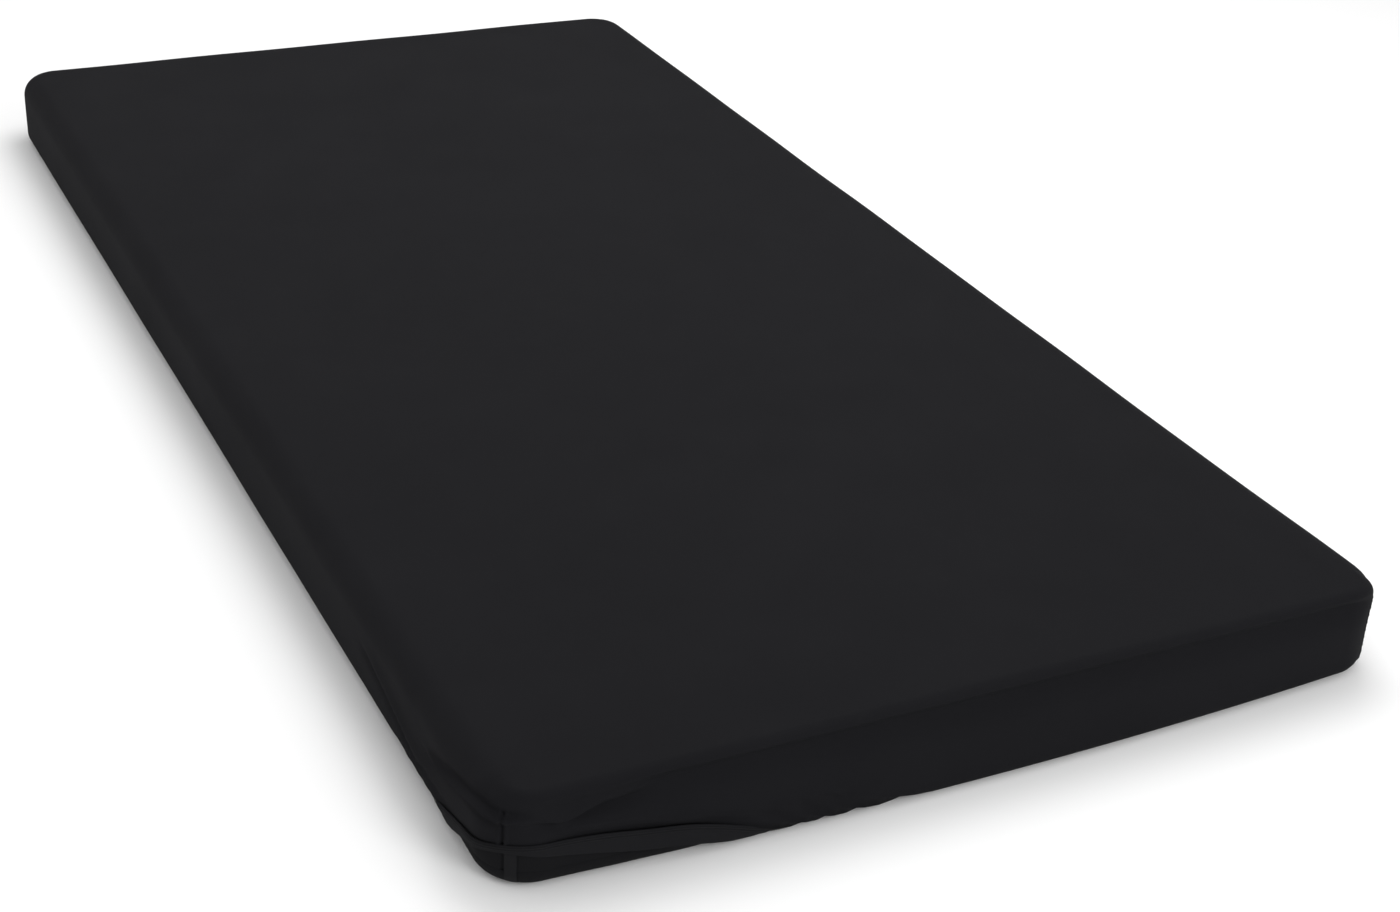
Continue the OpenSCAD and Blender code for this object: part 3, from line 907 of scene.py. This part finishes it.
class FUTON_OT_cover(bpy.types.Operator):
    """Add the fitted jersey cover, with its corner seams and slack folds"""

    bl_idname = "futon.cover"
    bl_label = "Cover"

    def execute(self, context):
        sizes = context.scene.futon_sizes
        ring = Ring(sizes, 0.0016, 0.030)
        mesh = skin_mesh("fitted_cover_skin", ring, cover_rows(ring, sizes))
        smooth_middle(mesh, ring, sizes)
        cover = new_piece("cover", mesh, finish_of("jersey"), ["fitted_cover"])
        thicken(cover, sizes.cover_t)
        return {"FINISHED"}


def smooth_middle(mesh, ring, sizes):
    """Gives the flat middle the crown that the rows round it have."""
    count = len(ring.x) * len(ring.y)
    points = np.zeros(len(mesh.vertices) * 3)
    mesh.vertices.foreach_get("co", points)
    points = points.reshape(-1, 3)
    points[:count] = crown(points[:count] * (1, 1, 0) + (0, 0, HEIGHT), sizes)
    mesh.vertices.foreach_set("co", points.ravel())
    mesh.update()


class FUTON_OT_hem(bpy.types.Operator):
    """Add the elasticated hem with its stitching, and the elastic inside it"""

    bl_idname = "futon.hem"
    bl_label = "Hem and elastic"

    def execute(self, context):
        sizes = context.scene.futon_sizes
        ring = Ring(sizes, 0.003, 0.0034, arc=(0.0012, 1.1, 0.002))
        lower, upper = hem_edges(ring)
        middle, half = (lower + upper) / 2, (upper - lower) / 2
        bare = fade(np.abs(ring.s), 0.36, 0.22)
        waves = unevenness(ring.run, 0 * ring.run, 0.013, 21)
        gather = waves * (0.0005 - 0.0003 * bare)
        lift = 0.0020 * bare + 0.0012 * bump(ring.s, -0.03, 0.035)
        depth = -sizes.hem_t / 2 - 0.0003 + lift * fade(lower, 0.0, 0.02)
        rows = [
            self.point(ring, sizes, middle, half, depth, gather, angle)
            for angle in np.linspace(0, 2 * math.pi, 22, endpoint=False)
        ]
        mesh = face_outward(tube_mesh("hem_tube", ring, rows))
        new_piece("hem", mesh, finish_of("hem"), ["hem_channel"])
        self.stitches(ring, sizes, upper, depth)
        self.elastic(ring, sizes, middle, half, depth)
        return {"FINISHED"}

    def point(self, ring, sizes, middle, half, depth, gather, angle):
        """One row round the hem's tube, flat in section, with a dent where it is stitched."""
        across, through_it = math.cos(angle), math.sin(angle)
        wide = np.sign(across) * abs(across) ** 0.6
        thick = np.sign(through_it) * abs(through_it) ** 0.7
        dent = 0.0004 * bump(wide, 0.62, 0.1) * max(thick, 0)
        out = depth + sizes.hem_t / 2 * thick + gather * (0.4 + 0.6 * max(thick, 0)) - dent
        return lean(no_lower(ring.low(middle + half * wide, out)[0], 0.0001), sizes)

    def stitches(self, ring, sizes, upper, depth):
        """Two rows of stitches along the hem, drawn into the cloth."""
        meshes = []
        for inset in (0.0026, 0.0052):
            points, facing = ring.low(upper - inset, depth + sizes.hem_t / 2 + 0.0001)
            points = lean(no_lower(points, 0.0003), sizes)
            line = np.concatenate([points, points[:1]])
            meshes.append(stitch_mesh("row", line, np.concatenate([facing, facing[:1]]), sizes))
        new_piece("hem_stitching", joined("hem_stitching", meshes), finish_of("thread"))

    def elastic(self, ring, sizes, middle, half, depth):
        """The elastic band, slightly rippled as it draws the hem in."""
        thick, half_width, channel_wall = 0.00035, 0.006, 0.0022
        narrow = np.minimum(half_width, half - channel_wall)
        ripple = 0.0001 * np.sin(ring.run * 2 * math.pi / 0.011)
        rows = []
        for across, up in ((-1, -0.7), (-0.96, 0.7), (-0.5, 1), (0, 0.9), (0.5, 1), (0.96, 0.7),
                           (1, -0.7), (0.5, -1), (0, -0.9), (-0.5, -1)):
            points = ring.low(middle + narrow * across, depth + thick * up + ripple)[0]
            rows.append(lean(no_lower(points, 0.0008), sizes))
        mesh = face_outward(tube_mesh("elastic_band", ring, rows))
        new_piece("elastic", mesh, finish_of("elastic"), ["hem_elastic"])


def corner_turn(name):
    """A corner's direction seen from above, in radians, and its x and y."""
    across = 1 if name.endswith("right") else -1
    along = 1 if name.startswith("head") else -1
    return math.atan2(along, across), across * HALF_W, along * HALF_L


def corner_point(name, sizes, inset, beside, z):
    """A point at a corner, that far in from the cover's face and that far round from its seam.
    beside is towards the foot or head end where it is positive."""
    turn, x, y = corner_turn(name)
    x -= math.copysign(sizes.corner, x)
    y -= math.copysign(sizes.corner, y)
    towards_end = 1 if x * y > 0 else -1
    angle = turn + towards_end * beside / sizes.corner
    reach = sizes.corner - inset
    return (x + reach * math.cos(angle), y + reach * math.sin(angle), z)


class FUTON_OT_corner_seams(bpy.types.Operator):
    """Add the seam allowance inside each corner of the cover"""

    bl_idname = "futon.corner_seams"
    bl_label = "Corner seams"

    def execute(self, context):
        sizes = context.scene.futon_sizes
        for corner in CORNERS:
            node = f"corner_seam_{corner}"
            low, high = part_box(node)
            bottom = 0.053 if corner == "foot_left" else low.z
            self.allowance(sizes, corner, node, bottom, high.z)
        return {"FINISHED"}

    def allowance(self, sizes, corner, node, bottom, top):
        """Two layers of jersey turned to lie flat, their cut edges a little curled."""
        half = 0.004
        across = np.linspace(-half, half, 9)
        rows = np.linspace(bottom, top, 36)
        points = np.array([
            [
                corner_point(
                    corner, sizes,
                    sizes.cover_t + 0.0004 + sizes.seam_depth * float(bump(beside, 0, 0.0018))
                    + 0.0004 * (beside / half) ** 4
                    + 0.00015 * math.sin(z / 0.0021 + beside * 300),
                    beside + 0.0003 * math.sin(z / 0.004), z,
                )
                for beside in across
            ]
            for z in rows
        ])
        mesh = sheet_mesh(node, points, across, rows)
        seam = new_piece(f"seam_{corner}", mesh, finish_of("hem"), [node])
        inward = -1.0 if corner in ("foot_right", "head_left") else 1.0
        thicken(seam, 0.001, inward)


class FUTON_OT_label(bpy.types.Operator):
    """Add the blank care label inside the cover's right side"""

    bl_idname = "futon.label"
    bl_label = "Care label"

    def execute(self, context):
        low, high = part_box("care_label")
        along = np.linspace(low.y, high.y, 25)
        rows = np.linspace(low.z, high.z, 17)
        thickness = high.x - low.x
        points = np.array([
            [
                (
                    (low.x + high.x) / 2 - 0.0016 * ((z - low.z) / (high.z - low.z) - 0.5) ** 2
                    - 0.0006 + 0.0002 * math.sin(y / 0.006),
                    y, z,
                )
                for y in along
            ]
            for z in rows
        ])
        mesh = sheet_mesh("label", points, along, rows)
        label = new_piece("label", mesh, finish_of("label"), ["care_label"])
        thicken(label, thickness * 0.6, 0.0)
        return {"FINISHED"}


# ---------------------------------------------------------------- the ticking case


def pressed_in(s, z, room):
    """How far the cover's hollows press a layer in that has that much room under the cover."""
    hem_z = (through(HEM_LINE, s / MM) - HEM_CLEAR) * MM
    return np.minimum(fold_relief(s, z) + room, 0) * fade(z, hem_z, hem_z + 0.008)


def case_swell(ring, points, sizes):
    """How far the case swells out where the cover's hem has ridden up off it."""
    s, z = ring.s, points[:, 2]
    bare = fade(s, -0.16, -0.05) * fade(s, 0.26, 0.06)
    wrinkle = 0.0004 * unevenness(s, z, 0.05, 31)
    return sizes.corner_fill * bare * fade(z, 0.06, 0.04) + wrinkle + pressed_in(s, z, 0.0016)


def case_row(ring, sizes, inset, z, out, up):
    """One row of the case, swollen and leaned like the cover over it."""
    points = ring.at(inset, z)
    facing = ring.facing(out, up)
    return lean(points + facing * case_swell(ring, points, sizes)[:, None], sizes)


def case_rows(ring, sizes, way):
    """Rows of the upper (way = 1) or lower (way = -1) panel, from the flat middle to its seam."""
    if way > 0:
        flat, seam = CASE_HIGH.z, BORDER_HIGH.z
        radius = sizes.top_edge - sizes.case_gap
    else:
        flat, seam = CASE_LOW.z, BORDER_LOW.z
        radius = sizes.bottom_edge - sizes.case_gap
    gap = sizes.case_gap
    rows = []
    for share in np.linspace(0, 1, 5)[:-1]:
        inset = sizes.corner + (gap + radius - sizes.corner) * share
        rows.append(case_row(ring, sizes, inset, flat, 0, way))
    for angle in np.linspace(0, math.pi / 2, 12)[:-1]:
        inset = gap + radius * (1 - math.sin(angle))
        z = flat - way * radius * (1 - math.cos(angle))
        rows.append(case_row(ring, sizes, inset, z, math.sin(angle), way * math.cos(angle)))
    for z in np.linspace(flat - way * radius, seam, 6):
        turn = 0.0005 * bump(z, seam, 0.0014)
        rows.append(case_row(ring, sizes, gap + turn, z, 1, 0))
    return np.array(rows)


class FUTON_OT_case(bpy.types.Operator):
    """Add the ticking case: its upper and lower panels and its border with the zip's opening"""

    bl_idname = "futon.case"
    bl_label = "Ticking case"

    def execute(self, context):
        sizes = context.scene.futon_sizes
        for name, way in (("ticking_top", 1), ("ticking_bottom", -1)):
            ring = Ring(sizes, 0.004, 0.03, 1.07, arc=(0.0012, 1.1, 0.004))
            rows = case_rows(ring, sizes, way)
            mesh = skin_mesh(name, ring, rows)
            if way < 0:
                mesh.flip_normals()
            panel = new_piece(f"{name}_panel", mesh, finish_of("ticking"), [name])
            thicken(panel, sizes.ticking_t)
        self.border(sizes)
        return {"FINISHED"}

    def border(self, sizes):
        """The upright border, cut and turned in round the zip's opening."""
        tape_low, tape_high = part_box("zip_tape_lower")[0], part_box("zip_tape_upper")[1]
        half = tape_high.x - sizes.ticking_t
        low, high = tape_low.z + sizes.ticking_t, tape_high.z - sizes.ticking_t
        ring = Ring(sizes, 0.004, 0.02, 1.07, arc=(0.0008, 1.1, 0.003), keep_x=(-half, half))
        heights = np.concatenate([
            np.linspace(BORDER_HIGH.z, high, 7)[:-1],
            np.linspace(high, low, 12)[:-1],
            np.linspace(low, BORDER_LOW.z, 8),
        ])
        rows = []
        for z in heights:
            turn = 0.0005 * (bump(z, BORDER_LOW.z, 0.0014) + bump(z, BORDER_HIGH.z, 0.0014))
            inset = sizes.case_gap + turn + 0.0012 * bump(ring.from_seam(), 0, 0.0012)
            rows.append(case_row(ring, sizes, inset, z, 1, 0))
        mesh = skin_mesh("ticking_border", ring, np.array(rows), capped=False)
        self.open_zip(mesh, half, low, high, tape_high.y)
        border = new_piece("ticking_border_band", mesh, finish_of("ticking"), ["ticking_border"])
        thicken(border, sizes.ticking_t)

    def open_zip(self, mesh, half, low, high, back):
        """Takes out the zip's opening and turns its edges in to the zip's tapes."""
        whole = bmesh.new()
        whole.from_mesh(mesh)
        inside = [
            f for f in whole.faces
            if f.calc_center_median().y > HALF_L - 0.02
            and abs(f.calc_center_median().x) < half
            and low < f.calc_center_median().z < high
        ]
        rim = {e for f in inside for e in f.edges if any(o not in inside for o in e.link_faces)}
        bmesh.ops.delete(whole, geom=inside, context="FACES")
        rim = [e for e in rim if e.is_valid]
        grown = bmesh.ops.extrude_edge_only(whole, edges=rim)["geom"]
        for vertex in (v for v in grown if isinstance(v, bmesh.types.BMVert)):
            vertex.co.y = back
        bmesh.ops.recalc_face_normals(whole, faces=whole.faces)
        if max(whole.faces, key=lambda f: f.calc_center_median().x).normal.x < 0:
            bmesh.ops.reverse_faces(whole, faces=whole.faces)
        whole.to_mesh(mesh)
        whole.free()
        mesh.shade_smooth()


class FUTON_OT_tapes(bpy.types.Operator):
    """Add the binding over the case's upper seam and the tapes beside its corner seams"""

    bl_idname = "futon.tapes"
    bl_label = "Binding and corner tapes"

    def execute(self, context):
        sizes = context.scene.futon_sizes
        self.binding(sizes)
        self.corner_tapes(sizes)
        return {"FINISHED"}

    def binding(self, sizes):
        low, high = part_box("binding_top")
        middle, half = (low.z + high.z) / 2, (high.z - low.z) / 2
        ring = Ring(sizes, 0.006, 0.02, 1.06, arc=(0.002, 1.1, 0.003))
        inner, outer = sizes.case_gap - 0.0001, sizes.case_gap - 0.0013
        ripple = 0.0002 * np.sin(ring.run * 2 * math.pi / 0.017)
        rows = []
        for up, out in ((-1, 0.15), (-0.94, 0.8), (-0.6, 1), (-0.5, 0.75), (0, 1), (0.5, 0.75),
                        (0.6, 1), (0.94, 0.8), (1, 0.15), (0.6, 0), (-0.6, 0)):
            inset = inner + (outer - inner) * out
            z = middle + half * up + ripple
            points = ring.at(inset, z) + ring.facing(pressed_in(ring.s, z, 0.0006), 0)
            rows.append(lean(points, sizes))
        mesh = face_outward(tube_mesh("binding", ring, rows))
        new_piece("binding", mesh, finish_of("tape"), ["binding_top"])

    def corner_tapes(self, sizes):
        low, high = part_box("corner_tapes")
        width, from_seam = 0.012, 0.0015
        across = np.linspace(0, width, 13)
        meshes, stitches = [], []
        for corner in CORNERS:
            bare = corner == "foot_left"
            bottom = 0.0065 if bare else low.z
            heights = np.linspace(bottom, high.z, 40)
            swell = sizes.corner_fill if bare else 0.0
            points = np.array([
                [
                    corner_point(
                        corner, sizes,
                        self.inset(sizes, z, swell) - 0.0004 * bump(beside / width, 0.5, 0.35),
                        beside + from_seam, z,
                    )
                    for beside in across
                ]
                for z in heights
            ])
            mesh = sheet_mesh("tape", points, heights[0] + across, heights)
            if corner in ("foot_right", "head_left"):
                mesh.flip_normals()
            meshes.append(mesh)
            for beside in (0.0015, width - 0.0015):
                line = [
                    corner_point(corner, sizes, self.inset(sizes, z, swell) - 0.0004, beside + from_seam, z)
                    for z in heights
                ]
                turn = corner_turn(corner)[0]
                facing = [(math.cos(turn), math.sin(turn), 0)] * len(line)
                stitches.append(stitch_mesh("row", line, facing, sizes))
        tapes = new_piece("corner_tape_strips", joined("tapes", meshes), finish_of("tape"),
                          ["corner_tapes"])
        thicken(tapes, 0.0006, 1.0)
        new_piece("tape_stitching", joined("tape_stitching", stitches), finish_of("thread"))

    def inset(self, sizes, z, swell):
        """Distance in from the cover's face at which a corner tape lies at a height."""
        radius = sizes.bottom_edge - sizes.case_gap
        below = max(CASE_LOW.z + radius - z, 0)
        rounded = radius - math.sqrt(max(radius ** 2 - below ** 2, 0))
        pressed = pressed_in(np.array([0.008]), z, 0.0006)[0] if swell else 0.0
        return sizes.case_gap + rounded - 0.0003 - swell * float(fade(z, 0.06, 0.04)) - float(pressed)


# ---------------------------------------------------------------- zip


class FUTON_OT_zip(bpy.types.Operator):
    """Add the zip: tapes, coils, end stops, slider and pull"""

    bl_idname = "futon.zip"
    bl_label = "Zip"

    def execute(self, context):
        sizes = context.scene.futon_sizes
        stitches = []
        for side in ("upper", "lower"):
            self.tape(side, sizes, stitches)
            self.coil(side)
        new_piece("zip_stitching", joined("zip_stitching", stitches), finish_of("thread"))
        for node in ("zip_slider", "zip_pull", "zip_stop_closed", "zip_stop_open"):
            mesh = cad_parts[node].data
            mesh.materials.clear()
            mesh.materials.append(finish_of("metal"))
        return {"FINISHED"}

    def tape(self, side, sizes, stitches):
        """A woven tape with two rows of stitches."""
        node = f"zip_tape_{side}"
        low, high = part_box(node)
        tucked = 0.0015  # the tape's ends run in behind the case's turned edges
        along = np.linspace(low.x - tucked, high.x + tucked, 220)
        rows = np.linspace(low.z, high.z, 12)
        middle = (low.y + high.y) / 2
        x, z = np.meshgrid(along, rows)
        y = middle + 0.00015 * unevenness(x, z, 0.05, 41)
        mesh = sheet_mesh(node, np.stack([x, y, z], axis=-1), along, rows)
        tape = new_piece(f"{node}_woven", mesh, finish_of("zip_tape"), [node])
        thicken(tape, (high.y - low.y) * 0.8, 0.0)
        for share in (0.3, 0.5):
            at = low.z + (high.z - low.z) * (1 - share if side == "lower" else share)
            line = [(x, high.y, at) for x in along]
            stitches.append(stitch_mesh("row", line, [(0, 1, 0)] * len(line), sizes))

    def coil(self, side):
        """A nylon coil: a fine helix of thread between the end stops."""
        node = f"zip_coil_{side}"
        low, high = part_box(node)
        wire = 0.00028
        radius = (high.z - low.z) / 2 - wire
        pitch, points_per_turn = 0.0019, 7
        count = int((high.x - low.x) / pitch * points_per_turn)
        turn = np.arange(count) * 2 * math.pi / points_per_turn
        x = np.linspace(low.x + wire, high.x - wire, count)
        y = (low.y + high.y) / 2 + radius * np.cos(turn)
        z = (low.z + high.z) / 2 + radius * np.sin(turn) * (1 if side == "upper" else -1)
        curve = bpy.data.curves.new(node, "CURVE")
        curve.dimensions = "3D"
        curve.bevel_depth = wire
        curve.bevel_resolution = 0
        curve.use_fill_caps = True
        line = curve.splines.new("POLY")
        line.points.add(count - 1)
        line.points.foreach_set("co", np.column_stack([x, y, z, np.ones(count)]).ravel())
        new_piece(f"{node}_helix", curve, finish_of("coil"), [node])


# ---------------------------------------------------------------- filling


def filling_mesh(name, ring, sizes, low, high, rows, soft):
    """A closed layer of filling between two heights, with soft edges where it isn't glued."""
    gap = sizes.case_gap + sizes.ticking_t + sizes.fill_gap
    rounding = min(soft, (high - low) / 2 - 0.0005)
    quarter = [
        (gap + rounding * (1 - math.sin(angle)), rounding * (1 - math.cos(angle)))
        for angle in np.linspace(0, math.pi / 2, 6)
    ]
    profile = [(inset, high - drop) for inset, drop in quarter]
    profile += [(gap, z) for z in np.linspace(high - rounding, low + rounding, rows)[1:]]
    profile += [(inset, low + drop) for inset, drop in quarter[-2::-1]]
    shoulder = sizes.top_edge - gap
    out = []
    for inset, z in [(sizes.corner, high), *profile, (sizes.corner, low)]:
        rise = max(z - (CASE_HIGH.z - sizes.ticking_t - shoulder), 0)
        top = shoulder - math.sqrt(max(shoulder ** 2 - rise ** 2, 0))
        dip = max(CASE_LOW.z + sizes.bottom_edge - gap - z, 0)
        foot = sizes.bottom_edge - gap
        bottom = foot - math.sqrt(max(foot ** 2 - min(dip, foot) ** 2, 0))
        held = inset if inset == sizes.corner else min(inset + top + bottom, sizes.corner - 0.001)
        out.append(lean(ring.at(held, z), sizes))
    mesh = skin_mesh(name, ring, np.array(out), capped=True, lowest=low)
    return groove(face_outward(mesh))


def groove(mesh):
    """Presses the filling in behind the zip, so that the slider has room to run."""
    slider_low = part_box("zip_slider")[0]
    tape_low, tape_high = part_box("zip_tape_lower")[0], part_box("zip_tape_upper")[1]
    middle, half = (tape_low.z + tape_high.z) / 2, (tape_high.z - tape_low.z) / 2 + 0.002
    back = slider_low.y - 0.002
    for vertex in mesh.vertices:
        x, y, z = vertex.co
        if y > back:
            share = float(fade(abs(x), tape_high.x + 0.008, tape_high.x + 0.002))
            share *= float(fade(abs(z - middle), half + 0.003, half))
            vertex.co.y = y + (back - y) * share
    mesh.update()
    return mesh


class FUTON_OT_filling(bpy.types.Operator):
    """Add the foam core and the batting above and below it"""

    bl_idname = "futon.filling"
    bl_label = "Filling"

    def execute(self, context):
        sizes = context.scene.futon_sizes
        ring = Ring(sizes, 0.008, 0.03, 1.06, arc=(0.003, 1.1, 0.005))
        for node, rows, soft in (
            ("foam_core", 24, 0.0015),
            ("batting_top", 6, 0.006),
            ("batting_bottom", 6, 0.006),
        ):
            low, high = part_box(node)
            mesh = filling_mesh(node, ring, sizes, low.z, high.z, rows, soft)
            kind = "foam" if node == "foam_core" else "batting"
            layer = new_piece(f"{node}_layer", mesh, finish_of(kind), [node])
        return {"FINISHED"}


# ---------------------------------------------------------------- an empty step


class FUTON_OT_declare_cloth(bpy.types.Operator):
    """Does nothing."""

    bl_idname = "futon.declare_cloth"
    bl_label = "Declare cloth"

    def execute(self, context):
        return {"FINISHED"}


# ---------------------------------------------------------------- stage


class FUTON_OT_stage(bpy.types.Operator):
    """Add the floor, the soft lights and the camera"""

    bl_idname = "futon.stage"
    bl_label = "Studio"

    def execute(self, context):
        scene = context.scene
        self.floor(scene)
        self.light(scene, "Overhead", (0.5, 0.5, 2.4), (0.1, 0.1, 0), 2.0, 34)
        self.light(scene, "Front", (0.8, -4.2, 2.4), (0.1, -0.6, 0.05), 1.6, 60)
        world = bpy.data.worlds.new("Studio")
        world.use_nodes = True
        backdrop = world.node_tree.nodes["Background"].inputs
        backdrop["Color"].default_value = (1.0, 1.0, 1.0, 1.0)
        backdrop["Strength"].default_value = 0.84
        scene.world = world
        scene.view_settings.view_transform = "Standard"
        self.camera(scene)
        return {"FINISHED"}

    def floor(self, scene):
        reach = 30.0
        points = [(-reach, -reach, 0), (reach, -reach, 0), (reach, reach, 0), (-reach, reach, 0)]
        mesh = plain_mesh("floor", points, [[0, 1, 2, 3]])
        mesh.materials.append(finish_of("floor"))
        floor = bpy.data.objects.new("floor", mesh)
        floor.location.z = COVER_LOW.z - 0.0002
        scene.collection.objects.link(floor)

    def light(self, scene, name, place, aim, size, power):
        lamp = bpy.data.lights.new(name, "AREA")
        lamp.shape, lamp.size, lamp.energy = "SQUARE", size, power
        made = bpy.data.objects.new(name, lamp)
        made.location = place
        made.rotation_euler = (Vector(aim) - Vector(place)).to_track_quat("-Z", "Y").to_euler()
        scene.collection.objects.link(made)

    def camera(self, scene):
        azimuth, elevation, roll = (math.radians(a) for a in (-27.56, 28.37, 3.385))
        distance, aim = 2.7409, Vector((0.0337, -0.3216, 0.0))
        back = Vector((
            math.sin(azimuth) * math.cos(elevation),
            -math.cos(azimuth) * math.cos(elevation),
            math.sin(elevation),
        ))
        level = Vector((math.cos(azimuth), math.sin(azimuth), 0.0))
        right = level * math.cos(roll) + back.cross(level) * math.sin(roll)
        turn = Matrix((right, back.cross(right), back)).transposed()
        data = bpy.data.cameras.new("Camera")
        data.lens, data.sensor_width = 58.6, 36.0
        camera = bpy.data.objects.new("Camera", data)
        camera.matrix_world = Matrix.Translation(aim + back * distance) @ turn.to_4x4()
        scene.collection.objects.link(camera)
        scene.camera = camera


class FUTON_PT_panel(bpy.types.Panel):
    """The pieces, sizes and colours of the futon mattress"""

    bl_label = "Futon mattress"
    bl_idname = "FUTON_PT_panel"
    bl_space_type = "VIEW_3D"
    bl_region_type = "UI"
    bl_category = "Futon"

    def draw(self, context):
        for operator in OPERATORS:
            self.layout.operator(operator.bl_idname)
        for group in (context.scene.futon_sizes, context.scene.futon_colours):
            box = self.layout.box()
            for name in group.__annotations__:
                box.prop(group, name)


OPERATORS = (
    FUTON_OT_cover,
    FUTON_OT_hem,
    FUTON_OT_corner_seams,
    FUTON_OT_label,
    FUTON_OT_case,
    FUTON_OT_tapes,
    FUTON_OT_zip,
    FUTON_OT_filling,
    FUTON_OT_declare_cloth,
    FUTON_OT_stage,
)
CLASSES = (FutonSizes, FutonColours, *OPERATORS, FUTON_PT_panel)


def register():
    for cls in CLASSES:
        bpy.utils.register_class(cls)
    bpy.types.Scene.futon_sizes = bpy.props.PointerProperty(type=FutonSizes)
    bpy.types.Scene.futon_colours = bpy.props.PointerProperty(type=FutonColours)


def unregister():
    del bpy.types.Scene.futon_colours
    del bpy.types.Scene.futon_sizes
    for cls in reversed(CLASSES):
        bpy.utils.unregister_class(cls)


def main():
    register()
    for operator in OPERATORS:
        group, name = operator.bl_idname.split(".")
        getattr(getattr(bpy.ops, group), name)()


if __name__ == "__main__":
    main()
